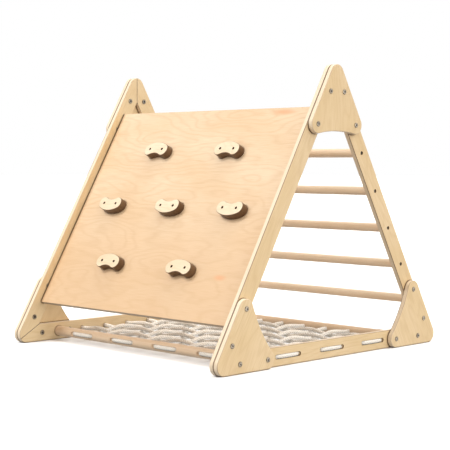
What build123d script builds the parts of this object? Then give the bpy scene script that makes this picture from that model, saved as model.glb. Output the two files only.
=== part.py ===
"""Toddler climbing triangle: two mitred plywood end frames with gusset plates, a climbing panel with
seven holds on the front slope, a five-rung ladder on the rear slope and a laced rope net at the bottom.

Millimetres. +Z is up, the panel faces -Y and the ladder faces +Y. The origin is on the floor, at the
middle of the footprint.
"""
import os
from math import cos, pi, radians, sin, sqrt, tan

from build123d import *

# End frame: an equilateral triangle of three boards, with its side measured along the outer edges
SIDE = 1000.0
HEIGHT = SIDE * sqrt(3) / 2
BOARD_WIDTH = 54.0
BOARD_THICKNESS = 15.0
CORNER_RADIUS = 28.0
EDGE_ROUND = 1.6
MITRE_GAP = 0.3
INSIDE_WIDTH = 832.0

# Gusset plates
GUSSET_THICKNESS = 15.0
GUSSET_REACH = 279.0
GUSSET_THROAT = 217.5
GUSSET_END_RADIUS = 27.0
GUSSET_EDGE_ROUND = 2.4
GUSSET_BACK_ROUND = 1.6
BOLT_NEAR = 106.0
BOLT_FAR = 214.0

# Ladder
RUNG_COUNT = 5
RUNG_DIAMETER = 26.0
RUNG_FIRST = 306.0
RUNG_PITCH = 129.3
RUNG_END_ROUND = 1.0

# Climbing panel and its cleats
PANEL_TOP = 157.0
PANEL_LENGTH = 686.0
PANEL_THICKNESS = 15.0
PANEL_RECESS = 24.0
PANEL_SIDE_GAP = 2.5
PANEL_CORNER_RADIUS = 4.0
CLEAT_WIDTH = 22.0
CLEAT_LENGTH = 600.0
CLEAT_CHAMFER = 1.0
CLEAT_SCREWS = 4
PANEL_SCREWS = 5

# Climbing holds
HOLD_THICKNESS = 23.0
HOLD_BAND = 39.0
HOLD_ARC_RADIUS = 70.0
HOLD_HALF_SPAN = 31.0
HOLD_BOLT_HALF_PITCH = 27.0
HOLD_EDGE_ROUND = 2.0
HOLD_ROW_PITCH = 194.0
HOLD_OUTER_ROW_X = 154.0
HOLD_MIDDLE_ROW_X = 260.0

# Net: rails and net dowels are laced on one square grid
NET_PITCH = 94.0
NET_HEIGHT = BOARD_WIDTH / 2
NET_DOWEL_DIAMETER = 30.0
NET_DOWEL_Y = 330.0
RAIL_HOLES = [(k - 2.5) * NET_PITCH for k in range(6)]
DOWEL_HOLES = [(k - 3.5) * NET_PITCH for k in range(8)]
ROPE_DIAMETER = 12.0
ROPE_HOLE = 13.0
ROPE_LIFT = 6.1
ROPE_CROSSING = 15.7
ROPE_PROUD = 3.0
ROPE_BEND = 8.0
ROPE_ARC_SHARE = 0.45
ROPE_LEAD_IN = 20.0
KNOT_DIAMETER = 32.0
KNOT_THICKNESS = 17.0
KNOT_ROUND = 5.7

# Fasteners
M6 = 6.0
M6_CLEARANCE = 6.6
M6_THREADED = 6.2
BUTTON_HEAD_DIAMETER = 14.0
BUTTON_HEAD_HEIGHT = 2.4
BUTTON_HEAD_ROUND = 1.9
FLANGE_HEIGHT = 2.0
FLANGE_ROUND = 0.5
SLEEVE_DIAMETER = 9.0
SLEEVE_LENGTH = 12.0
SLEEVE_HOLE = 9.2
CAP_HEAD_DIAMETER = 10.0
CAP_HEAD_HEIGHT = 6.0
CAP_HEAD_ROUND = 0.5
CAP_COUNTERBORE = 11.0
CAP_RECESS = 3.0
HEX_KEY = 4.0
HEX_DEPTH = 1.8
SHANK_CHAMFER = 0.6
INSERT_DIAMETER = 10.0
INSERT_HOLE = 10.2
INSERT_LENGTH = 15.0
T_NUT_FLANGE = 20.0
T_NUT_FLANGE_HEIGHT = 1.5
T_NUT_LENGTH = 9.0
M5 = 5.0
M5_CLEARANCE = 5.5
M5_THREADED = 5.2
M5_HEAD_DIAMETER = 8.0
M5_HEAD_HEIGHT = 5.0
HOLD_COUNTERBORE = 8.6
HOLD_COUNTERBORE_DEPTH = 12.0
SCREW_DIAMETER = 4.0
SCREW_HEAD_DIAMETER = 8.0
SCREW_HOLE = 4.2
COUNTERSINK = 8.2
SCREW_TIP_RADIUS = 0.4
PANEL_SCREW_LENGTH = 25.0
CLEAT_SCREW_LENGTH = 32.0
HOLE_SPARE = 1.0
SCREW_SPARE = 2.0

# Derived places
BOARD_INNER = INSIDE_WIDTH / 2
BOARD_OUTER = BOARD_INNER + BOARD_THICKNESS
GUSSET_OUTER = BOARD_OUTER + GUSSET_THICKNESS
MID_BOARD = BOARD_WIDTH / 2
CORNERS = {"top": (0.0, HEIGHT), "front": (-SIDE / 2, 0.0), "rear": (SIDE / 2, 0.0)}
CENTRE = (0.0, HEIGHT / 3)
SIDES = {"left": -1, "right": 1}


def along(start, end, distance, depth):
    """Point of the YZ triangle: distance from corner start towards end, depth in from the outer edge."""
    (y0, z0), (y1, z1) = CORNERS[start], CORNERS[end]
    uy, uz = (y1 - y0) / SIDE, (z1 - z0) / SIDE
    ny, nz = -uz, uy
    if ny * (CENTRE[0] - y0) + nz * (CENTRE[1] - z0) < 0:
        ny, nz = -ny, -nz
    return (y0 + uy * distance + ny * depth, z0 + uz * distance + nz * depth)


def side_plane(side, x):
    """Plane across X at distance x from the middle, with its normal pointing outwards on that side."""
    sign = SIDES[side]
    return Plane(origin=(sign * x, 0, 0), x_dir=(0, 1, 0), z_dir=(sign, 0, 0))


def on_side(side, y, z):
    """The YZ point in the local axes of side_plane, whose second axis points down on the left side."""
    return (y, SIDES[side] * z)


def slope_plane(distance, depth, x=0.0):
    """Plane parallel to the front slope: local x is +X, local y runs up the slope, the normal faces out."""
    y, z = along("top", "front", distance, depth)
    return Plane(origin=(x, y, z), x_dir=(1, 0, 0), z_dir=(0, -cos(radians(30)), sin(radians(30))))


def finish(part, label):
    """Label a finished sub-part and write its file."""
    part.label = label
    export_step(part, f"parts/{label}.step")


GUSSET_BOLTS = [
    along(corner, other, distance, MID_BOARD)
    for corner in CORNERS
    for other in CORNERS
    if other != corner
    for distance in (BOLT_NEAR, BOLT_FAR)
]
RUNGS = [along("top", "rear", RUNG_FIRST + k * RUNG_PITCH, MID_BOARD) for k in range(RUNG_COUNT)]
NET_DOWELS = {"front": (-NET_DOWEL_Y, NET_HEIGHT), "rear": (NET_DOWEL_Y, NET_HEIGHT)}
END_BOLTS = RUNGS + list(NET_DOWELS.values())
BOARDS = {"front_leg": ("top", "front"), "rear_leg": ("top", "rear"), "base_rail": ("front", "rear")}

os.makedirs("parts", exist_ok=True)


# ---------------------------------------------------------------- rope routes

# Distance from the middle to the rope in its outer grooves, and to where it enters the wood
RAIL_REACH = BOARD_OUTER - ROPE_PROUD
RAIL_ENTRY = BOARD_INNER - ROPE_LEAD_IN
DOWEL_REACH = NET_DOWEL_Y + NET_DOWEL_DIAMETER / 2 - ROPE_PROUD
DOWEL_ENTRY = NET_DOWEL_Y - NET_DOWEL_DIAMETER / 2 - ROPE_LEAD_IN


def outer_turn(heading, entry, reach, first, second):
    """The rope's way out through one hole, along the outer groove and back in through the next hole."""
    turn = reach - ROPE_BEND
    return [
        (heading * entry, first, NET_HEIGHT),
        (heading * turn, first, NET_HEIGHT),
        (heading * reach, first + ROPE_BEND, NET_HEIGHT),
        (heading * reach, second - ROPE_BEND, NET_HEIGHT),
        (heading * turn, second, NET_HEIGHT),
        (heading * entry, second, NET_HEIGHT),
    ]


def lacing(runs, crossings, entry, reach, outer, first_heading, weave):
    """Route of a rope laced to and fro, as (along the runs, across them, height) points.

    Each run passes over and under the crossing ropes in turn: two points at the top of every crossing.
    """
    points = [(-first_heading * outer, runs[0], NET_HEIGHT), (-first_heading * entry, runs[0], NET_HEIGHT)]
    for row, across in enumerate(runs):
        heading = first_heading * (-1) ** row
        for crossing in sorted(crossings, key=lambda place: heading * place):
            over = 1 if (row + crossings.index(crossing) + weave) % 2 == 0 else -1
            for step in (-ROPE_CROSSING, ROPE_CROSSING):
                points.append((crossing + heading * step, across, NET_HEIGHT + over * ROPE_LIFT))
        if across == runs[-1]:
            points.append((heading * entry, across, NET_HEIGHT))
            points.append((heading * outer, across, NET_HEIGHT))
        else:
            points += outer_turn(heading, entry, reach, across, runs[row + 1])
    return points


def bend_radii(points):
    """Radius of the arc at each inner corner, which takes up the same share of the shorter run there."""
    radii = []
    for before, corner, after in zip(points, points[1:], points[2:]):
        run_in, run_out = Vector(corner) - Vector(before), Vector(after) - Vector(corner)
        half_turn = radians(run_in.get_angle(run_out)) / 2
        radii.append(ROPE_ARC_SHARE * min(run_in.length, run_out.length) / tan(half_turn))
    return radii


def swap_axes(points):
    """Turn (run, across, height) points of a rope that runs along Y into XYZ points."""
    return [(across, run, height) for run, across, height in points]


def sweep_round(points, diameter, mode=Mode.ADD):
    """Sweep a round section along straight runs joined by arcs."""
    with BuildLine() as path:
        FilletPolyline(*points, radius=bend_radii(points))
    with BuildSketch(Plane(origin=path.line @ 0, z_dir=path.line % 0)) as section:
        Circle(diameter / 2)
    sweep(sections=section.sketch, path=path.line, mode=mode)


# ---------------------------------------------------------------- end frames

def drill(side, x, places, diameter, depth):
    """Bore round holes from distance x from the middle; depth is positive outwards."""
    with BuildSketch(side_plane(side, x)) as circles:
        with Locations(*[on_side(side, y, z) for y, z in places]):
            Circle(diameter / 2)
    extrude(circles.sketch, amount=depth, mode=Mode.SUBTRACT)


def cleat_places(count):
    """Even spacing along the cleat, clear of its ends."""
    pitch = CLEAT_LENGTH / count
    return [SIDE / 2 - CLEAT_LENGTH / 2 + pitch * (k + 0.5) for k in range(count)]


CLEAT_DEPTH = BOARD_WIDTH - (BOARD_WIDTH - PANEL_RECESS - PANEL_THICKNESS) / 2
CLEAT_SCREW_PLACES = [along("top", "front", s, CLEAT_DEPTH) for s in cleat_places(CLEAT_SCREWS)]
CLEAT_SCREW_BITE = CLEAT_SCREW_LENGTH - CLEAT_WIDTH
MITRE_OUTER = MITRE_GAP / sin(radians(30))
MITRE_INNER = MITRE_OUTER + BOARD_WIDTH / tan(radians(30))
CAP_POCKET = CAP_HEAD_HEIGHT + CAP_RECESS

for side in SIDES:
    for name, (start, end) in BOARDS.items():
        ends = [along(start, end, d, MID_BOARD) for d in (BOLT_NEAR, BOLT_FAR)]
        ends += [along(end, start, d, MID_BOARD) for d in (BOLT_NEAR, BOLT_FAR)]
        with BuildPart() as board:
            with BuildSketch(side_plane(side, BOARD_INNER)):
                with BuildLine():
                    Polyline(*[on_side(side, *CORNERS[c]) for c in CORNERS], close=True)
                make_face()
                fillet(vertices(), radius=CORNER_RADIUS)
                with BuildLine():
                    outline = [
                        along(start, end, MITRE_OUTER, 0),
                        along(end, start, MITRE_OUTER, 0),
                        along(end, start, MITRE_INNER, BOARD_WIDTH),
                        along(start, end, MITRE_INNER, BOARD_WIDTH),
                    ]
                    Polyline(*[on_side(side, *point) for point in outline], close=True)
                make_face(mode=Mode.INTERSECT)
            extrude(amount=BOARD_THICKNESS)
            fillet(board.faces().filter_by(Axis.X).edges(), radius=EDGE_ROUND)
            drill(side, BOARD_INNER, ends, M6_CLEARANCE, BOARD_THICKNESS)
            drill(side, BOARD_INNER, ends, SLEEVE_HOLE, SLEEVE_LENGTH + HOLE_SPARE)
            if name == "front_leg":
                drill(side, BOARD_INNER, CLEAT_SCREW_PLACES, SCREW_HOLE, CLEAT_SCREW_BITE + HOLE_SPARE)
            else:
                bolts = RUNGS if name == "rear_leg" else list(NET_DOWELS.values())
                drill(side, BOARD_INNER, bolts, M6_CLEARANCE, BOARD_THICKNESS)
                drill(side, BOARD_OUTER, bolts, CAP_COUNTERBORE, -CAP_POCKET)
            if name == "base_rail":
                sign = SIDES[side]
                grooves = RAIL_HOLES if side == "right" else RAIL_HOLES[1:-1]
                plain = [] if side == "right" else [(y, NET_HEIGHT) for y in RAIL_HOLES[::5]]
                for first, second in zip(grooves[::2], grooves[1::2]):
                    sweep_round(
                        outer_turn(sign, RAIL_ENTRY, RAIL_REACH, first, second), ROPE_HOLE, Mode.SUBTRACT
                    )
                    with BuildSketch(side_plane(side, RAIL_REACH)):
                        with Locations(on_side(side, (first + second) / 2, NET_HEIGHT)):
                            SlotCenterToCenter(NET_PITCH, ROPE_HOLE)
                    extrude(amount=ROPE_PROUD, mode=Mode.SUBTRACT)
                if plain:
                    drill(side, BOARD_INNER, plain, ROPE_HOLE, BOARD_THICKNESS)
        finish(board.part, f"{side}_{name}")

for side in SIDES:
    for corner in CORNERS:
        first, second = [other for other in CORNERS if other != corner]
        y, z = CORNERS[corner]
        reach = [along(corner, other, GUSSET_REACH, 0) for other in (first, second)]
        share = GUSSET_THROAT / (SIDE / sqrt(3))
        throat = (y + (CENTRE[0] - y) * share, z + (CENTRE[1] - z) * share)
        bolts = [
            along(corner, other, distance, MID_BOARD)
            for other in (first, second)
            for distance in (BOLT_NEAR, BOLT_FAR)
        ]
        with BuildPart() as gusset:
            with BuildSketch(side_plane(side, BOARD_OUTER)) as plate:
                with BuildLine():
                    tip = on_side(side, y, z)
                    heel, toe = [on_side(side, *point) for point in reach]
                    Line(tip, heel)
                    ThreePointArc(heel, on_side(side, *throat), toe)
                    Line(toe, tip)
                make_face()
                tip_vertex = plate.vertices().sort_by_distance(tip)[0]
                end_vertices = [v for v in plate.vertices() if v != tip_vertex]
                fillet(end_vertices, radius=GUSSET_END_RADIUS)
                fillet(plate.vertices().sort_by_distance(tip)[0], radius=CORNER_RADIUS)
            extrude(amount=GUSSET_THICKNESS)
            outer_last = gusset.faces().sort_by(Axis((0, 0, 0), (SIDES[side], 0, 0)))
            back_edges, front_edges = outer_last[0].edges(), outer_last[-1].edges()
            fillet(front_edges, radius=GUSSET_EDGE_ROUND)
            fillet(back_edges, radius=GUSSET_BACK_ROUND)
            drill(side, BOARD_OUTER, bolts, M6_CLEARANCE, GUSSET_THICKNESS)
        finish(gusset.part, f"{side}_{corner}_gusset")

# ---------------------------------------------------------------- ladder and net dowels

def end_bores(y, z):
    """Bore both ends of a rail along X for its threaded inserts."""
    for side in SIDES:
        drill(side, BOARD_INNER, [(y, z)], INSERT_HOLE, -INSERT_LENGTH - HOLE_SPARE)


for number, (y, z) in enumerate(RUNGS, start=1):
    with BuildPart() as rung:
        with BuildSketch(Plane.YZ.offset(-BOARD_INNER)):
            with Locations((y, z)):
                Circle(RUNG_DIAMETER / 2)
        extrude(amount=INSIDE_WIDTH)
        chamfer(rung.edges().filter_by(GeomType.CIRCLE), length=RUNG_END_ROUND)
        end_bores(y, z)
    finish(rung.part, f"rung_{number}")

for place, (y, z) in NET_DOWELS.items():
    sign = -1 if place == "front" else 1
    grooves = DOWEL_HOLES if place == "front" else DOWEL_HOLES[1:-1]
    with BuildPart() as dowel:
        with BuildSketch(Plane.YZ.offset(-BOARD_INNER)):
            with Locations((y, z)):
                Circle(NET_DOWEL_DIAMETER / 2)
        extrude(amount=INSIDE_WIDTH)
        end_bores(y, z)
        for first, second in zip(grooves[::2], grooves[1::2]):
            channel = outer_turn(sign, DOWEL_ENTRY, DOWEL_REACH, first, second)
            sweep_round(swap_axes(channel), ROPE_HOLE, Mode.SUBTRACT)
            outwards = Plane(
                origin=((first + second) / 2, sign * DOWEL_REACH, z), x_dir=(1, 0, 0), z_dir=(0, sign, 0)
            )
            with BuildSketch(outwards):
                SlotCenterToCenter(NET_PITCH, ROPE_HOLE)
            extrude(amount=ROPE_PROUD, mode=Mode.SUBTRACT)
        if place == "rear":
            with BuildSketch(Plane(origin=(0, y, z), x_dir=(1, 0, 0), z_dir=(0, 1, 0))):
                with Locations((DOWEL_HOLES[0], 0), (DOWEL_HOLES[-1], 0)):
                    Circle(ROPE_HOLE / 2)
            extrude(amount=NET_DOWEL_DIAMETER, both=True, mode=Mode.SUBTRACT)
    finish(dowel.part, f"{place}_net_dowel")

# ---------------------------------------------------------------- climbing panel, cleats and holds

# Each hold is (x, distance from the apex, +1 arched up or -1 arched down)
HOLDS = [(sign * HOLD_OUTER_ROW_X, SIDE / 2 - HOLD_ROW_PITCH, 1) for sign in (-1, 1)]
HOLDS += [(column * HOLD_MIDDLE_ROW_X, SIDE / 2, -1) for column in (-1, 0, 1)]
HOLDS += [(sign * HOLD_OUTER_ROW_X, SIDE / 2 + HOLD_ROW_PITCH, 1) for sign in (-1, 1)]
HOLD_BOLTS = [(x + step * HOLD_BOLT_HALF_PITCH, s) for x, s, _ in HOLDS for step in (-1, 1)]
PANEL_BACK = PANEL_RECESS + PANEL_THICKNESS
CLEAT_X = BOARD_INNER - CLEAT_WIDTH / 2
PANEL_SCREW_PLACES = [(sign * CLEAT_X, s) for sign in (-1, 1) for s in cleat_places(PANEL_SCREWS)]
PANEL_SCREW_BITE = PANEL_SCREW_LENGTH - (BOARD_WIDTH - PANEL_BACK)
SLOPE_INWARDS = Axis((0, 0, 0), (0, cos(radians(30)), -sin(radians(30))))


def slope_drill(places, depth, diameter, length):
    """Bore holes square to the front slope from the given depth; length is positive outwards."""
    for x, s in places:
        with BuildSketch(slope_plane(s, depth, x)) as circle:
            Circle(diameter / 2)
        extrude(circle.sketch, amount=length, mode=Mode.SUBTRACT)


with BuildPart() as panel:
    with BuildSketch(slope_plane(PANEL_TOP + PANEL_LENGTH / 2, PANEL_BACK)):
        RectangleRounded(INSIDE_WIDTH - 2 * PANEL_SIDE_GAP, PANEL_LENGTH, PANEL_CORNER_RADIUS)
    extrude(amount=PANEL_THICKNESS)
    big_faces = panel.faces().sort_by(SortBy.AREA)[-2:]
    fillet(big_faces.edges(), radius=EDGE_ROUND)
    slope_drill(HOLD_BOLTS, PANEL_BACK, M5_CLEARANCE, PANEL_THICKNESS)
    slope_drill(HOLD_BOLTS, PANEL_BACK, SLEEVE_HOLE, T_NUT_LENGTH + HOLE_SPARE)
    slope_drill(PANEL_SCREW_PLACES, PANEL_BACK, SCREW_HOLE, PANEL_SCREW_BITE + HOLE_SPARE)
finish(panel.part, "climbing_panel")

for side, sign in SIDES.items():
    inner_x = sign * (BOARD_INNER - CLEAT_WIDTH)
    from_middle = [Plane(origin=(inner_x, y, z), z_dir=(-sign, 0, 0)) for y, z in CLEAT_SCREW_PLACES]
    from_behind = [
        Plane(origin=slope_plane(s, BOARD_WIDTH, sign * CLEAT_X).origin, z_dir=SLOPE_INWARDS.direction)
        for s in cleat_places(PANEL_SCREWS)
    ]
    with BuildPart() as cleat:
        with BuildSketch(slope_plane(SIDE / 2, BOARD_WIDTH, sign * CLEAT_X)):
            Rectangle(CLEAT_WIDTH, CLEAT_LENGTH)
        extrude(amount=BOARD_WIDTH - PANEL_BACK)
        chamfer(cleat.faces().sort_by(SLOPE_INWARDS)[-1].edges(), length=CLEAT_CHAMFER)
        with Locations(*from_middle, *from_behind):
            CounterSinkHole(SCREW_HOLE / 2, counter_sink_radius=COUNTERSINK / 2, counter_sink_angle=90)
    finish(cleat.part, f"{side}_panel_cleat")

arc_height = HOLD_ARC_RADIUS - sqrt(HOLD_ARC_RADIUS**2 - HOLD_HALF_SPAN**2)
bolt_drop = HOLD_ARC_RADIUS - sqrt(HOLD_ARC_RADIUS**2 - HOLD_BOLT_HALF_PITCH**2)
for number, (x, s, arch) in enumerate(HOLDS, start=1):
    base = slope_plane(s, PANEL_RECESS, x)
    with BuildPart() as hold:
        with BuildSketch(base):
            with BuildLine(mode=Mode.PRIVATE) as middle:
                ThreePointArc(
                    (-HOLD_HALF_SPAN, arch * (bolt_drop - arc_height)),
                    (0, arch * bolt_drop),
                    (HOLD_HALF_SPAN, arch * (bolt_drop - arc_height)),
                )
            SlotArc(middle.edge(), HOLD_BAND)
        extrude(amount=HOLD_THICKNESS)
        fillet(hold.faces().sort_by(SLOPE_INWARDS)[0].edges(), radius=HOLD_EDGE_ROUND)
        face_depth = PANEL_RECESS - HOLD_THICKNESS
        with Locations(*[slope_plane(s, face_depth, x + step * HOLD_BOLT_HALF_PITCH) for step in (-1, 1)]):
            CounterBoreHole(
                radius=M5_CLEARANCE / 2,
                counter_bore_radius=HOLD_COUNTERBORE / 2,
                counter_bore_depth=HOLD_COUNTERBORE_DEPTH,
            )
    finish(hold.part, f"hold_{number}")

# ---------------------------------------------------------------- rope net

ROPES = {
    "crosswise_rope": lacing(RAIL_HOLES, DOWEL_HOLES, RAIL_ENTRY, RAIL_REACH, BOARD_OUTER, 1, 0),
    "lengthwise_rope": swap_axes(
        lacing(
            DOWEL_HOLES, RAIL_HOLES, DOWEL_ENTRY, DOWEL_REACH, NET_DOWEL_Y + NET_DOWEL_DIAMETER / 2, -1, 1
        )
    ),
}

for name, points in ROPES.items():
    with BuildPart() as rope:
        sweep_round(points, ROPE_DIAMETER)
    finish(rope.part, name)
    length = rope.part.volume / (pi * ROPE_DIAMETER**2 / 4)
    radii = bend_radii(points)
    bends = f"{len(radii)} bends, radii {min(radii):.1f} to {max(radii):.0f}"
    print(f"{name}: volume / section = {length:.0f} mm, {bends}")

with BuildPart() as knots:
    rail_ends = [
        Plane(origin=(-BOARD_OUTER, y, NET_HEIGHT), z_dir=(-1, 0, 0)) for y in RAIL_HOLES[::5]
    ]
    dowel_ends = [
        Plane(origin=(x, NET_DOWEL_Y + NET_DOWEL_DIAMETER / 2, NET_HEIGHT), z_dir=(0, 1, 0))
        for x in (DOWEL_HOLES[0], DOWEL_HOLES[-1])
    ]
    with BuildSketch(*rail_ends, *dowel_ends):
        Circle(KNOT_DIAMETER / 2)
    extrude(amount=KNOT_THICKNESS)
    fillet(knots.edges().filter_by(GeomType.CIRCLE), radius=KNOT_ROUND)
finish(knots.part, "rope_knots")

# ---------------------------------------------------------------- fasteners


def sides_out(x, places):
    """Planes at distance x from the middle on both sides, with their z axes pointing outwards."""
    return [
        Plane(origin=(sign * x, y, z), x_dir=(0, 1, 0), z_dir=(sign, 0, 0))
        for sign in SIDES.values()
        for y, z in places
    ]


def socket_screw(thread, head, length):
    """Screw with a hexagon socket, standing on the underside of its (diameter, height, round) head."""
    head_diameter, head_height, head_round = head
    with BuildPart() as screw:
        Cylinder(head_diameter / 2, head_height, align=(Align.CENTER, Align.CENTER, Align.MIN))
        fillet(screw.edges().sort_by(Axis.Z)[-1], radius=head_round)
        with BuildSketch(Plane.XY.offset(head_height)):
            RegularPolygon(HEX_KEY / 2, 6, major_radius=False)
        extrude(amount=-HEX_DEPTH, mode=Mode.SUBTRACT)
        Cylinder(thread / 2, length, align=(Align.CENTER, Align.CENTER, Align.MAX))
        chamfer(screw.edges().sort_by(Axis.Z)[0], length=SHANK_CHAMFER)
    return screw.part


def flanged_sleeve(bore, flange_diameter, flange_height, length):
    """Threaded sleeve standing on its flange, with its mouth pointing down."""
    with BuildPart() as sleeve:
        Cylinder(SLEEVE_DIAMETER / 2, length, align=(Align.CENTER, Align.CENTER, Align.MIN))
        Cylinder(flange_diameter / 2, flange_height, align=(Align.CENTER, Align.CENTER, Align.MAX))
        fillet(sleeve.edges().sort_by(Axis.Z)[0], radius=FLANGE_ROUND)
        with Locations((0, 0, length)):
            Hole(bore / 2)
    return sleeve.part


def wood_screw(length):
    """Countersunk wood screw, head up, with a cross recess."""
    head, shank = SCREW_HEAD_DIAMETER / 2, SCREW_DIAMETER / 2
    with BuildPart() as screw:
        with BuildSketch(Plane.XZ):
            with BuildLine():
                neck, tip = shank - head, 2 * shank - length
                blunt = (SCREW_TIP_RADIUS, -length)
                Polyline((0, 0), (head, 0), (shank, neck), (shank, tip), blunt, (0, -length), close=True)
            make_face()
        revolve(axis=Axis.Z)
        with BuildSketch(Plane.XY):
            Rectangle(head, shank / 3)
            Rectangle(shank / 3, head)
        extrude(amount=-shank / 2, mode=Mode.SUBTRACT)
    return screw.part


def fastener_set(fastener, planes, label):
    """Place copies of one fastener on the planes and write them as one sub-part."""
    with BuildPart() as fasteners:
        with Locations(*planes):
            add(fastener)
    finish(fasteners.part, label)


END_SCREW_LENGTH = BOARD_THICKNESS - CAP_POCKET + INSERT_LENGTH - SCREW_SPARE
GUSSET_SCREW_LENGTH = GUSSET_THICKNESS + BOARD_THICKNESS - SCREW_SPARE
HOLD_SCREW_LENGTH = HOLD_THICKNESS - HOLD_COUNTERBORE_DEPTH + PANEL_THICKNESS
HOLD_SEAT = PANEL_RECESS - HOLD_THICKNESS + HOLD_COUNTERBORE_DEPTH

button_head = (BUTTON_HEAD_DIAMETER, BUTTON_HEAD_HEIGHT, BUTTON_HEAD_ROUND)
button_screw = socket_screw(M6, button_head, GUSSET_SCREW_LENGTH)
fastener_set(button_screw, sides_out(GUSSET_OUTER, GUSSET_BOLTS), "gusset_bolts")

sleeve_nut = flanged_sleeve(M6_THREADED, BUTTON_HEAD_DIAMETER, FLANGE_HEIGHT, SLEEVE_LENGTH)
fastener_set(sleeve_nut, sides_out(BOARD_INNER, GUSSET_BOLTS), "gusset_sleeve_nuts")

end_screw = socket_screw(M6, (CAP_HEAD_DIAMETER, CAP_HEAD_HEIGHT, CAP_HEAD_ROUND), END_SCREW_LENGTH)
fastener_set(end_screw, sides_out(BOARD_OUTER - CAP_POCKET, END_BOLTS), "rung_and_dowel_bolts")

with BuildPart() as insert:
    Cylinder(INSERT_DIAMETER / 2, INSERT_LENGTH, align=(Align.CENTER, Align.CENTER, Align.MAX))
    Hole(M6_THREADED / 2)
fastener_set(insert.part, sides_out(BOARD_INNER, END_BOLTS), "rung_and_dowel_inserts")

hold_screw = socket_screw(M5, (M5_HEAD_DIAMETER, M5_HEAD_HEIGHT, CAP_HEAD_ROUND), HOLD_SCREW_LENGTH)
fastener_set(hold_screw, [slope_plane(s, HOLD_SEAT, x) for x, s in HOLD_BOLTS], "hold_bolts")

t_nut = flanged_sleeve(M5_THREADED, T_NUT_FLANGE, T_NUT_FLANGE_HEIGHT, T_NUT_LENGTH)
fastener_set(t_nut, [slope_plane(s, PANEL_BACK, x) for x, s in HOLD_BOLTS], "hold_t_nuts")

panel_screw_planes = [
    Plane(origin=slope_plane(s, BOARD_WIDTH, x).origin, z_dir=SLOPE_INWARDS.direction)
    for x, s in PANEL_SCREW_PLACES
]
fastener_set(wood_screw(PANEL_SCREW_LENGTH), panel_screw_planes, "panel_screws")

cleat_screw_planes = [
    Plane(origin=(sign * (BOARD_INNER - CLEAT_WIDTH), y, z), z_dir=(-sign, 0, 0))
    for sign in SIDES.values()
    for y, z in CLEAT_SCREW_PLACES
]
fastener_set(wood_screw(CLEAT_SCREW_LENGTH), cleat_screw_planes, "cleat_screws")
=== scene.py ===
"""Looks of the toddler climbing triangle: plywood, beech, zinc-plated steel and braided rope."""
from math import cos, pi, radians, sin, sqrt

import bpy
import numpy as np
from mathutils import Matrix, Vector


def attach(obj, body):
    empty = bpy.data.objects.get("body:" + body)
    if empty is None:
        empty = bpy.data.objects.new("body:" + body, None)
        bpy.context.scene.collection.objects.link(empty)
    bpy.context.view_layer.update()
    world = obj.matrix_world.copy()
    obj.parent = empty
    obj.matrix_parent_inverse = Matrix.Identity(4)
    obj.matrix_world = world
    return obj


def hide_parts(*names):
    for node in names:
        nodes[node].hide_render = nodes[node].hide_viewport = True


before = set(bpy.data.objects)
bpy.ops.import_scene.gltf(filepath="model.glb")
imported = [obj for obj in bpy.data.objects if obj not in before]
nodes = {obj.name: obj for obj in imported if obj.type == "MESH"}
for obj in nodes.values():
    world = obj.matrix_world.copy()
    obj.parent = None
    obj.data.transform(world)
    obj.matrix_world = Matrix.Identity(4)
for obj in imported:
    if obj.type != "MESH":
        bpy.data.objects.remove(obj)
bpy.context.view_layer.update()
scene = bpy.context.scene
MM = 0.001

# ---------------------------------------------------------------- sizes of the CAD model, in metres

SIDE = 1000 * MM
HEIGHT = SIDE * sqrt(3) / 2
BOARD_WIDTH = 54 * MM
BOARD_INNER = 416 * MM
BOARD_OUTER = 431 * MM
PANEL_RECESS = 24 * MM
PANEL_THICKNESS = 15 * MM
NET_PITCH = 94 * MM
NET_HEIGHT = 27 * MM
NET_DOWEL_Y = 330 * MM
NET_DOWEL_RADIUS = 15 * MM
RAIL_HOLES = [(k - 2.5) * NET_PITCH for k in range(6)]
DOWEL_HOLES = [(k - 3.5) * NET_PITCH for k in range(8)]
ROPE_RADIUS = 6 * MM
ROPE_LIFT = 6.1 * MM
ROPE_CROSSING = 15.7 * MM
ROPE_PROUD = 3 * MM
ROPE_BEND = 8 * MM
ROPE_LEAD_IN = 20 * MM
KNOT_ROPE = 10 * MM
UP_SLOPE = Vector((0, cos(radians(60)), sin(radians(60))))
DOWN_REAR = Vector((0, cos(radians(60)), -sin(radians(60))))
SLOPE_NORMAL = Vector((0, -cos(radians(30)), sin(radians(30))))
SLOPE_OFFSET = HEIGHT * sin(radians(30))

# ---------------------------------------------------------------- camera, floor and light

CAMERA_PLACE = (2.6991, -2.7206, 0.5569)
CAMERA_AZIMUTH = radians(44.806)
CAMERA_ELEVATION = radians(2.861)
CAMERA_ROLL = radians(0.141)
CAMERA_LENS = 98.9
FLOOR_REACH = 40


def add_camera():
    """The camera stands far off, to the right of the panel and a little above the middle."""
    data = bpy.data.cameras.new("camera")
    data.lens = CAMERA_LENS
    data.sensor_width = 36
    data.clip_end = 2 * FLOOR_REACH
    camera = bpy.data.objects.new("camera", data)
    camera.matrix_world = (
        Matrix.Translation(CAMERA_PLACE)
        @ Matrix.Rotation(CAMERA_AZIMUTH, 4, "Z")
        @ Matrix.Rotation(pi / 2 - CAMERA_ELEVATION, 4, "X")
        @ Matrix.Rotation(CAMERA_ROLL, 4, "Z")
    )
    scene.collection.objects.link(camera)
    scene.camera = camera


def add_light(name, place, target, size, power, colour=(1, 1, 1)):
    """A soft rectangular light at place, turned towards target."""
    data = bpy.data.lights.new(name, "AREA")
    data.shape = "RECTANGLE"
    data.size, data.size_y = size
    data.energy = power
    data.color = colour
    light = bpy.data.objects.new(name, data)
    direction = Vector(target) - Vector(place)
    light.matrix_world = Matrix.Translation(place) @ direction.to_track_quat("-Z", "Y").to_matrix().to_4x4()
    scene.collection.objects.link(light)


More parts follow.
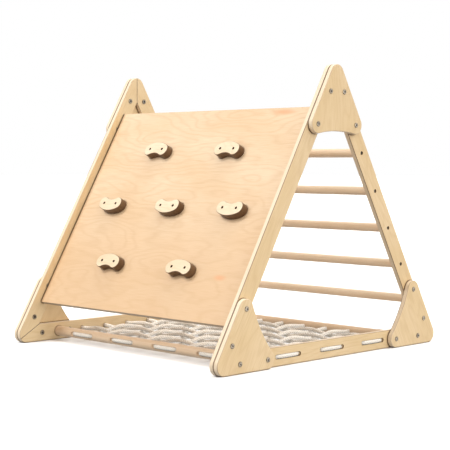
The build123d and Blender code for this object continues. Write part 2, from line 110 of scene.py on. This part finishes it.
def add_sun(name, source, strength, spread, colour):
    """Even light from far off in the direction of source, as soft as a wide window."""
    data = bpy.data.lights.new(name, "SUN")
    data.energy, data.angle, data.color = strength, radians(spread), colour
    light = bpy.data.objects.new(name, data)
    light.matrix_world = (-Vector(source)).to_track_quat("-Z", "Y").to_matrix().to_4x4()
    scene.collection.objects.link(light)


def add_world(*levels):
    """White studio light: each level is a (direction z, strength) step of a ramp from nadir to zenith."""
    world = bpy.data.worlds.new("studio")
    world.use_nodes = True
    tree = world.node_tree
    direction = tree.nodes.new("ShaderNodeTexCoord").outputs["Generated"]
    split = tree.nodes.new("ShaderNodeSeparateXYZ")
    tree.links.new(direction, split.inputs[0])
    lift = tree.nodes.new("ShaderNodeMapRange")
    for socket, value in zip(lift.inputs, (None, -1, 1, 0, 1)):
        if value is not None:
            socket.default_value = value
    tree.links.new(split.outputs["Z"], lift.inputs["Value"])
    ramp = tree.nodes.new("ShaderNodeValToRGB")
    stops = ramp.color_ramp.elements
    while len(stops) < len(levels):
        stops.new(0.5)
    for stop, (height, strength) in zip(stops, levels):
        stop.position = (height + 1) / 2
        stop.color = (strength, strength, strength, 1)
    tree.links.new(lift.outputs[0], ramp.inputs[0])
    tree.links.new(ramp.outputs[0], tree.nodes["Background"].inputs["Strength"])
    tree.nodes["Background"].inputs["Color"].default_value = (1, 1, 1, 1)
    scene.world = world


def add_floor():
    """A plain pale floor. It takes shadows and throws no light back up, like a lifted product shot."""
    mesh = bpy.data.meshes.new("floor")
    mesh.from_pydata([(x, y, 0) for x, y in ((-1, -1), (1, -1), (1, 1), (-1, 1))], [], [(0, 1, 2, 3)])
    mesh.transform(Matrix.Scale(FLOOR_REACH, 4))
    floor = bpy.data.objects.new("floor", mesh)
    floor.visible_diffuse = False
    scene.collection.objects.link(floor)
    n = Shading("floor_paper")
    mesh.materials.append(n.finish((0.93, 0.93, 0.93, 1), 0.8, Specular_IOR_Level=0.1))


# ---------------------------------------------------------------- shading


class Shading:
    """A material's node tree, with short names for the nodes that the materials below share."""

    def __init__(self, name):
        self.material = bpy.data.materials.new(name)
        self.material.use_nodes = True
        self.tree = self.material.node_tree
        self.shader = self.tree.nodes["Principled BSDF"]

    def new(self, kind, **settings):
        node = self.tree.nodes.new(kind)
        for key, value in settings.items():
            setattr(node, key, value)
        return node

    def feed(self, socket, value):
        """Link a socket, or set its value."""
        if isinstance(value, bpy.types.NodeSocket):
            self.tree.links.new(value, socket)
        else:
            socket.default_value = value

    def maths(self, operation, *values):
        node = self.new("ShaderNodeMath", operation=operation)
        for socket, value in zip(node.inputs, values):
            self.feed(socket, value)
        return node.outputs[0]

    def times(self, first, second):
        return self.maths("MULTIPLY", first, second)

    def plus(self, first, second):
        return self.maths("ADD", first, second)

    def dot(self, place, direction):
        node = self.new("ShaderNodeVectorMath", operation="DOT_PRODUCT")
        self.feed(node.inputs[0], place)
        node.inputs[1].default_value = tuple(direction)
        return node.outputs["Value"]

    def vector(self, x, y, z):
        node = self.new("ShaderNodeCombineXYZ")
        for socket, value in zip(node.inputs, (x, y, z)):
            self.feed(socket, value)
        return node.outputs[0]

    def noise(self, place, scale=1.0, detail=2.0, roughness=0.5):
        node = self.new("ShaderNodeTexNoise")
        self.feed(node.inputs["Vector"], place)
        for key, value in (("Scale", scale), ("Detail", detail), ("Roughness", roughness)):
            node.inputs[key].default_value = value
        return node.outputs["Fac"]

    def streaks(self, along, beside, long, wide, seed, detail=2.0):
        """Noise drawn out along the grain: features about long by wide, in metres."""
        stretched = self.vector(self.times(along, 1 / long), self.times(beside, 1 / wide), seed)
        return self.noise(stretched, 1.0, detail)

    def remap(self, value, low, high, to_low=0.0, to_high=1.0):
        node = self.new("ShaderNodeMapRange", interpolation_type="SMOOTHSTEP")
        for socket, given in zip(node.inputs, (value, low, high, to_low, to_high)):
            self.feed(socket, given)
        return node.outputs[0]

    def mix(self, share, first, second):
        """Mix two colours; a colour is a socket or an RGB triple."""
        node = self.new("ShaderNodeMix", data_type="RGBA")
        self.feed(node.inputs["Factor"], share)
        for key, value in (("A", first), ("B", second)):
            socket = next(s for s in node.inputs if s.name == key and s.type == "RGBA")
            self.feed(socket, value if isinstance(value, bpy.types.NodeSocket) else (*value, 1))
        return next(s for s in node.outputs if s.type == "RGBA")

    def place(self):
        return self.new("ShaderNodeTexCoord").outputs["Object"]

    def normal(self):
        return self.new("ShaderNodeNewGeometry").outputs["Normal"]

    def crevice(self, reach):
        """How far a point is shut in by wood or metal within reach: 0 in the open, 1 in a tight corner."""
        node = self.new("ShaderNodeAmbientOcclusion", samples=6)
        node.inputs["Distance"].default_value = reach
        return self.maths("SUBTRACT", 1.0, node.outputs["AO"])

    def bump(self, height, distance):
        node = self.new("ShaderNodeBump")
        self.feed(node.inputs["Height"], height)
        node.inputs["Distance"].default_value = distance
        self.tree.links.new(node.outputs["Normal"], self.shader.inputs["Normal"])

    def finish(self, colour, roughness, **constants):
        self.feed(self.shader.inputs["Base Color"], colour)
        self.feed(self.shader.inputs["Roughness"], roughness)
        for key, value in constants.items():
            self.shader.inputs[key.replace("_", " ")].default_value = value
        return self.material


# ---------------------------------------------------------------- plywood

PLY = 1.36 * MM
PLY_LONG = (0.88, 0.73, 0.54)
PLY_END = (0.73, 0.54, 0.35)
PLY_GLUE = (0.33, 0.20, 0.11)
EDGE_WEAR_AND_SHADE = (0.34, 0.20, 0.10)
# Dark brown for the scorched cut edges, and for painted shade in grooves, corners and crevices
SCORCH_AND_SHADE = (0.105, 0.047, 0.016)
PANEL_LOW_SHADE = (0.66, 0.43, 0.235)

# Veneer tones, and how far the cut edges are darkened, from 0 (raw plies) to 1 (scorched)
FRAME_BIRCH = {
    "light": (0.76, 0.57, 0.34),
    "base": (0.71, 0.52, 0.285),
    "dark": (0.54, 0.35, 0.16),
    "burn": 0.0,
}
PANEL_BIRCH = {
    "light": (0.80, 0.61, 0.41),
    "base": (0.75, 0.53, 0.32),
    "dark": (0.58, 0.35, 0.17),
    "burn": 0.55,
}
HOLD_BIRCH = {
    "light": (0.87, 0.71, 0.51),
    "base": (0.81, 0.63, 0.42),
    "dark": (0.62, 0.42, 0.23),
    "burn": 1.0,
}

# Reddish stains on the panel as (along, beside, long, wide), and the span up the sheet over which painted
# shade darkens its veneer towards the bottom
PANEL_MARKS = [(0.306, 0.044, 0.028, 0.011), (0.30, 0.578, 0.055, 0.013)]
PANEL_SHADE_FADE = (0.55, 0.05)


def plywood(name, across, grain, start, tones, seed, figure=1.0, marks=(), shade_fade=None):
    """Oiled birch plywood: figured face veneers, and the stack of plies on the edges.

    across is the sheet's normal, grain the direction of the face veneer, start the distance of the sheet's
    first face from the origin along across, marks are (along, beside, long, wide) mineral stains, and
    painted shade darkens the veneer towards the bottom between the two shade_fade distances across its
    grain.
    """
    n = Shading(name)
    across, grain = Vector(across).normalized(), Vector(grain).normalized()
    place = n.place()
    along, depth = n.dot(place, grain), n.dot(place, across)
    beside = n.dot(place, across.cross(grain))
    light, base, dark = tones["light"], tones["base"], tones["dark"]

    # Face veneer: the growth rings of peeled birch are the contours of a slow wave in the wood
    swell = n.streaks(along, beside, 0.42, 0.13, seed, 2.0)
    ripple = n.streaks(along, beside, 0.06, 0.02, seed + 3, 2.0)
    rings = n.plus(n.plus(n.times(swell, 92.0), n.times(ripple, 2.6)), n.times(beside, 34.0))
    ring_tone = n.maths("POWER", n.plus(n.times(n.maths("SINE", rings), 0.5), 0.5), 3.0)
    cloud = n.streaks(along, beside, 0.30, 0.11, seed + 5, 4.0)
    fibre = n.streaks(along, beside, 0.05, 0.0016, seed + 7, 3.0)
    pores = n.remap(n.streaks(along, beside, 0.012, 0.0010, seed + 9, 1.0), 0.66, 0.78)
    face = n.mix(n.remap(cloud, 0.32, 0.68), light, base)
    # Painted shade: the veneer darkens towards the bottom of the sheet
    if shade_fade:
        up_sheet = n.plus(beside, n.times(cloud, 0.2))
        face = n.mix(n.remap(up_sheet, shade_fade[0], shade_fade[1], 0.0, 0.75), face, PANEL_LOW_SHADE)
    face = n.mix(n.times(ring_tone, 0.28 * figure), face, dark)
    face = n.mix(n.times(n.remap(fibre, 0.35, 0.75), 0.34), face, dark)
    face = n.mix(n.times(pores, 0.25), face, PLY_END)
    for mark_along, mark_beside, long, wide in marks:
        off_along = n.times(n.plus(along, -mark_along), 1 / long)
        off_beside = n.times(n.plus(beside, -mark_beside), 1 / wide)
        away = n.maths("SQRT", n.plus(n.times(off_along, off_along), n.times(off_beside, off_beside)))
        stain = n.remap(n.plus(away, n.times(cloud, 0.8)), 0.5, 1.6, 0.75, 0.0)
        face = n.mix(stain, face, (0.72, 0.34, 0.16))

    # Edge: plies laid crosswise in turn, a little uneven, with thin dark glue lines between them
    layer = n.plus(n.times(n.plus(depth, -start), 1 / PLY), n.times(n.noise(place, 55.0), 0.35))
    turn = n.maths("SINE", n.times(layer, pi))
    end_grain = n.mix(n.remap(n.noise(place, 850.0), 0.35, 0.7), PLY_END, base)
    edge = n.mix(n.remap(turn, -0.25, 0.25), n.mix(0.5, PLY_LONG, end_grain), PLY_LONG)
    glue = n.remap(n.maths("ABSOLUTE", turn), 0.0, 0.24, 0.5, 0.0)
    edge = n.mix(glue, edge, PLY_GLUE)
    edge = n.mix(tones["burn"], edge, n.mix(glue, SCORCH_AND_SHADE, PLY_GLUE))
    # Painted shade in the groove where a board meets its gusset
    from_seam = n.maths("ABSOLUTE", n.plus(depth, -BOARD_OUTER))
    edge = n.mix(n.remap(from_seam, 1.2 * MM, 3.6 * MM, 0.85, 0.0), edge, SCORCH_AND_SHADE)

    # The sanded round between face and edge is rubbed smoother, and painted darker, partly as wear and
    # partly as painted shade; corners and crevices get painted shade
    facing = n.maths("ABSOLUTE", n.dot(n.normal(), across))
    on_face = n.remap(facing, 0.80, 0.97)
    round_band = n.times(n.remap(facing, 0.15, 0.5), n.remap(facing, 0.99, 0.8))
    colour = n.mix(on_face, edge, face)
    least, most = 0.42 - 0.4 * tones["burn"], 0.80 - 0.7 * tones["burn"]
    rub_and_shade = n.times(round_band, n.remap(n.noise(place, 14.0, 3.0), 0.3, 0.7, least, most))
    # Darker round between face and edge: partly wear, partly painted shade
    colour = n.mix(rub_and_shade, colour, EDGE_WEAR_AND_SHADE)
    # Painted shade in corners and crevices
    colour = n.mix(n.remap(n.crevice(6 * MM), 0.12, 0.42, 0.0, 0.95), colour, SCORCH_AND_SHADE)
    hands = n.remap(n.noise(place, 7.0, 4.0), 0.35, 0.7, 0.0, 0.10)
    colour = n.mix(hands, colour, dark)
    roughness = n.plus(n.remap(fibre, 0.2, 0.8, 0.40, 0.54), n.times(round_band, -0.10))
    n.bump(n.plus(n.times(fibre, 0.6), n.times(glue, -0.7)), 0.10 * MM)
    return n.finish(colour, roughness, Specular_IOR_Level=0.42)


def beech(name, seed, painted_shade=0.0):
    """Turned beech along X: straight grain with dark ray flecks, darkened all over by painted shade from 0
    to 1.
    """
    n = Shading(name)
    place = n.place()
    split = n.new("ShaderNodeSeparateXYZ")
    n.feed(split.inputs[0], place)
    x, y, z = split.outputs
    fine = n.noise(n.vector(n.plus(n.times(x, 9.0), seed), n.times(y, 520.0), n.times(z, 520.0)), 1.0, 3.0)
    band = n.noise(n.vector(n.plus(n.times(x, 2.5), seed), n.times(y, 75.0), n.times(z, 75.0)), 1.0, 3.0)
    flecks = n.vector(n.plus(n.times(x, 330.0), seed), n.times(y, 1500.0), n.times(z, 1500.0))
    rays = n.noise(flecks, 1.0, 1.0)
    colour = n.mix(n.remap(band, 0.3, 0.7), (0.93, 0.75, 0.55), (0.86, 0.65, 0.45))
    colour = n.mix(n.times(n.remap(fine, 0.35, 0.75), 0.30), colour, (0.62, 0.41, 0.23))
    colour = n.mix(n.remap(rays, 0.62, 0.72, 0.0, 0.40), colour, (0.48, 0.28, 0.14))
    # Painted shade where the beech is shut in, as where it enters the boards
    colour = n.mix(n.remap(n.crevice(5 * MM), 0.35, 0.8, 0.0, 0.75), colour, SCORCH_AND_SHADE)
    # Painted shade over the whole part
    colour = n.mix(painted_shade, colour, (0.55, 0.34, 0.18))
    n.bump(n.plus(n.times(fine, 0.6), n.times(rays, -0.3)), 0.08 * MM)
    return n.finish(colour, n.remap(fine, 0.2, 0.8, 0.36, 0.5), Specular_IOR_Level=0.45)


def zinc_steel():
    """Dulled zinc plating with a faint spangle, and painted shade down in the sockets."""
    n = Shading("zinc_steel")
    place = n.place()
    spangle = n.noise(place, 900.0, 3.0)
    dull = n.noise(place, 160.0, 3.0)
    colour = n.mix(n.remap(dull, 0.3, 0.7), (0.40, 0.35, 0.28), (0.18, 0.15, 0.12))
    # Painted shade down in the sockets and where the metal meets wood
    colour = n.mix(n.remap(n.crevice(3 * MM), 0.08, 0.3, 0.0, 0.95), colour, (0.03, 0.028, 0.025))
    n.bump(spangle, 0.03 * MM)
    return n.finish(colour, n.remap(dull, 0.25, 0.75, 0.24, 0.42), Metallic=1.0)


def rope_cotton(name):
    """Cotton strands. UV: u runs round a strand, v along it in strand widths."""
    n = Shading(name)
    uv = n.new("ShaderNodeTexCoord").outputs["UV"]
    split = n.new("ShaderNodeSeparateXYZ")
    n.feed(split.inputs[0], uv)
    place = n.place()
    twist = n.plus(n.times(split.outputs[0], 6 * 2 * pi), n.times(split.outputs[1], 1.6))
    yarn = n.plus(n.times(n.maths("SINE", twist), 0.5), 0.5)
    fuzz = n.noise(place, 1400.0, 3.0)
    soil = n.noise(place, 22.0, 4.0)
    colour = n.mix(n.remap(soil, 0.35, 0.75), (0.98, 0.92, 0.83), (0.95, 0.87, 0.76))
    # Painted shade in the furrows between the yarns
    furrow = n.maths("POWER", n.maths("SUBTRACT", 1.0, yarn), 3.0)
    colour = n.mix(n.times(furrow, 0.4), colour, (0.62, 0.50, 0.36))
    # Painted shade where the rope is shut in, in holes, grooves and crossings
    colour = n.mix(n.remap(n.crevice(6 * MM), 0.72, 0.98, 0.0, 0.8), colour, (0.30, 0.17, 0.08))
    colour = n.mix(n.remap(fuzz, 0.55, 0.8, 0.0, 0.25), colour, (0.97, 0.94, 0.88))
    n.bump(n.plus(n.times(yarn, 0.8), n.times(fuzz, 0.5)), 0.25 * MM)
    return n.finish(colour, 0.92, Specular_IOR_Level=0.2, Sheen_Weight=0.35, Sheen_Roughness=0.5)


# ---------------------------------------------------------------- rope routes

RAIL_REACH = BOARD_OUTER - ROPE_PROUD
RAIL_ENTRY = BOARD_INNER - ROPE_LEAD_IN
DOWEL_OUTER = NET_DOWEL_Y + NET_DOWEL_RADIUS
DOWEL_REACH = DOWEL_OUTER - ROPE_PROUD
DOWEL_ENTRY = NET_DOWEL_Y - NET_DOWEL_RADIUS - ROPE_LEAD_IN


def outer_turn(heading, entry, reach, first, second):
    """The rope's way out through one hole, along the outer groove and back in through the next hole."""
    turn = reach - ROPE_BEND
    return [
        (heading * entry, first, NET_HEIGHT),
        (heading * turn, first, NET_HEIGHT),
        (heading * reach, first + ROPE_BEND, NET_HEIGHT),
        (heading * reach, second - ROPE_BEND, NET_HEIGHT),
        (heading * turn, second, NET_HEIGHT),
        (heading * entry, second, NET_HEIGHT),
    ]


def lacing(runs, crossings, entry, reach, outer, first_heading, weave):
    """Route of a rope laced to and fro, as (along the runs, across them, height) points."""
    points = [(-first_heading * outer, runs[0], NET_HEIGHT), (-first_heading * entry, runs[0], NET_HEIGHT)]
    for row, across in enumerate(runs):
        heading = first_heading * (-1) ** row
        for crossing in sorted(crossings, key=lambda place: heading * place):
            over = 1 if (row + crossings.index(crossing) + weave) % 2 == 0 else -1
            for step in (-ROPE_CROSSING, ROPE_CROSSING):
                points.append((crossing + heading * step, across, NET_HEIGHT + over * ROPE_LIFT))
        if across == runs[-1]:
            points.append((heading * entry, across, NET_HEIGHT))
            points.append((heading * outer, across, NET_HEIGHT))
        else:
            points += outer_turn(heading, entry, reach, across, runs[row + 1])
    return points


def route_line(points, step):
    """Evenly spaced points along the smooth NURBS line that has the route's points as control points."""
    curve = bpy.data.curves.new("route", "CURVE")
    curve.dimensions = "3D"
    curve.resolution_u = 16
    spline = curve.splines.new("NURBS")
    spline.points.add(len(points) - 1)
    for control, point in zip(spline.points, points):
        control.co = (*point, 1)
    spline.order_u = 3
    spline.use_endpoint_u = True
    holder = bpy.data.objects.new("route", curve)
    scene.collection.objects.link(holder)
    mesh = bpy.data.meshes.new_from_object(holder)
    line = np.array([v.co for v in mesh.vertices])
    bpy.data.objects.remove(holder)
    bpy.data.curves.remove(curve)
    bpy.data.meshes.remove(mesh)
    reached = np.concatenate([[0], np.cumsum(np.linalg.norm(np.diff(line, axis=0), axis=1))])
    count = max(8, round(reached[-1] / step))
    wanted = np.linspace(0, reached[-1], count + 1)
    return np.stack([np.interp(wanted, reached, line[:, k]) for k in range(3)], axis=1), wanted


def frames_along(line):
    """Tangent and two side directions at each point, turning no more than the line does."""
    tangent = np.gradient(line, axis=0)
    tangent /= np.linalg.norm(tangent, axis=1)[:, None]
    side = np.cross(tangent[0], (0.31, 0.17, 0.93))
    first = np.zeros_like(line)
    for k, t in enumerate(tangent):
        side = side - t * side.dot(t)
        side /= np.linalg.norm(side)
        first[k] = side
    return tangent, first, np.cross(tangent, first)


# ---------------------------------------------------------------- braid

BRAID_PITCH = 38 * MM
BRAID_STEP = 2.3 * MM
STRAND_WIDTH = 5.4 * MM
STRAND_THICKNESS = 1.9 * MM
STRAND_SECTION = ((-0.5, 0.0), (-0.28, 0.85), (0.28, 0.85), (0.5, 0.0))
CORE_SIDES = 8


def tube_faces(rings, sides, offset):
    """Quads of a closed tube of rings, each of sides points, with vertex numbers from offset."""
    faces = []
    for ring in range(rings - 1):
        low = offset + ring * sides
        for k in range(sides):
            after = (k + 1) % sides
            faces.append((low + k, low + after, low + sides + after, low + sides + k))
    last = offset + (rings - 1) * sides
    faces.append(tuple(offset + k for k in reversed(range(sides))))
    faces.append(tuple(last + k for k in range(sides)))
    return faces


def braid(points, radius, vertices, faces, uvs):
    """Add eight flat strands plaited round a core, along the smooth line of a route."""
    line, reached = route_line(points, BRAID_STEP)
    tangent, first, second = frames_along(line)
    middle = radius - STRAND_THICKNESS
    wave = 8 * pi * reached / BRAID_PITCH
    for turn, over in ((1, 1), (-1, -1)):
        for strand in range(4):
            angle = turn * 2 * pi * reached / BRAID_PITCH + strand * pi / 2
            out = first * np.cos(angle)[:, None] + second * np.sin(angle)[:, None]
            beside = np.cross(tangent, out)
            lean = turn * 2 * pi * middle / BRAID_PITCH
            heading = tangent + beside * lean
            heading /= np.linalg.norm(heading, axis=1)[:, None]
            flat = np.cross(out, heading)
            rise = middle + over * 0.42 * STRAND_THICKNESS * np.cos(wave)
            rings = []
            for wide, high in STRAND_SECTION:
                drop = (wide * STRAND_WIDTH) ** 2 / (2 * radius)
                lift = (rise + high * STRAND_THICKNESS - drop)[:, None]
                rings.append(line + out * lift + flat * wide * STRAND_WIDTH)
            offset = len(vertices)
            vertices.extend(np.stack(rings, axis=1).reshape(-1, 3))
            faces.extend(tube_faces(len(line), len(STRAND_SECTION), offset))
            around = [0.0, 0.33, 0.66, 1.0]
            uvs.extend((u, v / STRAND_WIDTH) for v in reached for u in around)
    offset = len(vertices)
    angles = np.arange(CORE_SIDES) * 2 * pi / CORE_SIDES
    core = [
        line[::2] + (first[::2] * cos(a) + second[::2] * sin(a)) * (middle - 0.2 * STRAND_THICKNESS)
        for a in angles
    ]
    vertices.extend(np.stack(core, axis=1).reshape(-1, 3))
    faces.extend(tube_faces(len(line[::2]), CORE_SIDES, offset))
    uvs.extend((k / CORE_SIDES, v / STRAND_WIDTH) for v in reached[::2] for k in range(CORE_SIDES))


def braided_piece(name, routes, radius, replaced):
    """One mesh of braided rope along the given routes, in place of a CAD node."""
    vertices, faces, uvs = [], [], []
    for points in routes:
        braid(points, radius, vertices, faces, uvs)
    mesh = bpy.data.meshes.new(name)
    mesh.from_pydata(np.array(vertices).tolist(), [], faces)
    layer = mesh.uv_layers.new(name="strands")
    corner_vertices = np.zeros(len(mesh.loops), int)
    mesh.loops.foreach_get("vertex_index", corner_vertices)
    layer.data.foreach_set("uv", np.array(uvs)[corner_vertices].astype(np.float32).ravel())
    mesh.polygons.foreach_set("use_smooth", [True] * len(mesh.polygons))
    mesh.materials.append(rope_cotton(name + "_cotton"))
    mesh.update()
    piece = bpy.data.objects.new(name, mesh)
    scene.collection.objects.link(piece)
    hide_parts(replaced)
    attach(piece, "root")


def knot_route(place, out, beside, size):
    """A stopper knot: the rope comes out, goes round itself and is tucked under its own turn."""
    place, out, beside = Vector(place), Vector(out), Vector(beside)
    third = out.cross(beside)
    points = [place - out * 0.9 * size, place + out * 0.35 * size]
    points.append(place + out * 1.15 * size + beside * 0.3 * size)
    for k in range(9):
        angle = radians(20 + 48 * k)
        height = (1.35 - 0.105 * k) * size
        points.append(place + out * height + (beside * cos(angle) + third * sin(angle)) * 0.98 * size)
    last = radians(20 + 48 * 8 + 40)
    points.append(place + out * 0.95 * size + (beside * cos(last) + third * sin(last)) * 1.15 * size)
    tail = beside * cos(last + 0.5) + third * sin(last + 0.5)
    points.append(place + out * 1.50 * size + tail * 1.35 * size)
    return [tuple(p) for p in points]


# ---------------------------------------------------------------- put it together

FRAME_GRAIN = {"front_leg": UP_SLOPE, "rear_leg": DOWN_REAR, "base_rail": Vector((0, 1, 0))}
GUSSET_GRAIN = {"top_gusset": Vector((0, 0, 1)), "front_gusset": UP_SLOPE, "rear_gusset": DOWN_REAR}


def paint(node, material):
    """Give a CAD node one material."""
    nodes[node].data.materials.clear()
    nodes[node].data.materials.append(material)


def paint_frames():
    for sign, side in ((-1, "left"), (1, "right")):
        for number, (name, grain) in enumerate((FRAME_GRAIN | GUSSET_GRAIN).items()):
            node = f"{side}_{name}"
            start = BOARD_OUTER if "gusset" in name else BOARD_INNER
            seed = 11.3 * number + 3.1 * sign
            paint(node, plywood(node, (sign, 0, 0), grain, start, FRAME_BIRCH, seed, 0.7))
        back, seed = SLOPE_OFFSET - BOARD_WIDTH, 5.0 + sign
        cleat = plywood(f"{side}_cleat", SLOPE_NORMAL, UP_SLOPE, back, FRAME_BIRCH, seed, 0.7)
        paint(f"{side}_panel_cleat", cleat)


def paint_panel():
    front = SLOPE_OFFSET - PANEL_RECESS
    back = front - PANEL_THICKNESS
    birch = (PANEL_BIRCH, 2.0, 0.85, PANEL_MARKS, PANEL_SHADE_FADE)
    paint("climbing_panel", plywood("panel", SLOPE_NORMAL, (1, 0, 0), back, *birch))
    for number in range(1, 8):
        name = f"hold_{number}"
        paint(name, plywood(name, SLOPE_NORMAL, (1, 0, 0), front, HOLD_BIRCH, 7.7 * number, 0.6))


def paint_rest():
    for number in range(1, 6):
        paint(f"rung_{number}", beech(f"rung_{number}", 3.7 * number))
    # The net dowels are the same beech as the rungs, given painted shade
    for number, name in enumerate(("front_net_dowel", "rear_net_dowel")):
        paint(name, beech(name, 31.0 + 5.3 * number, 0.45))
    steel = zinc_steel()
    for node in nodes:
        if node.endswith(("_bolts", "_nuts", "_inserts", "_screws")):
            paint(node, steel)


def add_net():
    crosswise = lacing(RAIL_HOLES, DOWEL_HOLES, RAIL_ENTRY, RAIL_REACH, BOARD_OUTER, 1, 0)
    lengthwise = lacing(DOWEL_HOLES, RAIL_HOLES, DOWEL_ENTRY, DOWEL_REACH, DOWEL_OUTER, -1, 1)
    lengthwise = [(across, run, height) for run, across, height in lengthwise]
    braided_piece("crosswise_braid", [crosswise], ROPE_RADIUS, "crosswise_rope")
    braided_piece("lengthwise_braid", [lengthwise], ROPE_RADIUS, "lengthwise_rope")
    knots = [
        knot_route((-BOARD_OUTER, y, NET_HEIGHT), (-1, 0, 0), (0, 0, 1), KNOT_ROPE)
        for y in (RAIL_HOLES[0], RAIL_HOLES[-1])
    ]
    knots += [
        knot_route((x, DOWEL_OUTER, NET_HEIGHT), (0, 1, 0), (0, 0, 1), KNOT_ROPE)
        for x in (DOWEL_HOLES[0], DOWEL_HOLES[-1])
    ]
    braided_piece("stopper_knots", knots, KNOT_ROPE / 2, "rope_knots")


scene.view_settings.view_transform = "Standard"
add_camera()
add_world((-0.10, 0.38), (-0.03, 1.0), (0.16, 1.0), (0.55, 0.80))
add_sun("key", (-0.62, -1.0, 1.45), 1.35, 18, (1.0, 0.985, 0.96))
add_sun("rear_top", (0.30, 0.8, 1.5), 1.7, 40, (1.0, 0.99, 0.98))
add_sun("fill", (1.0, 0.0, 0.30), 1.35, 50, (1.0, 0.99, 0.97))
add_light("top_left", (-1.3, -1.7, 1.9), (0, -0.2, 0.6), (0.8, 0.8), 9)
add_floor()
paint_frames()
paint_panel()
paint_rest()
add_net()
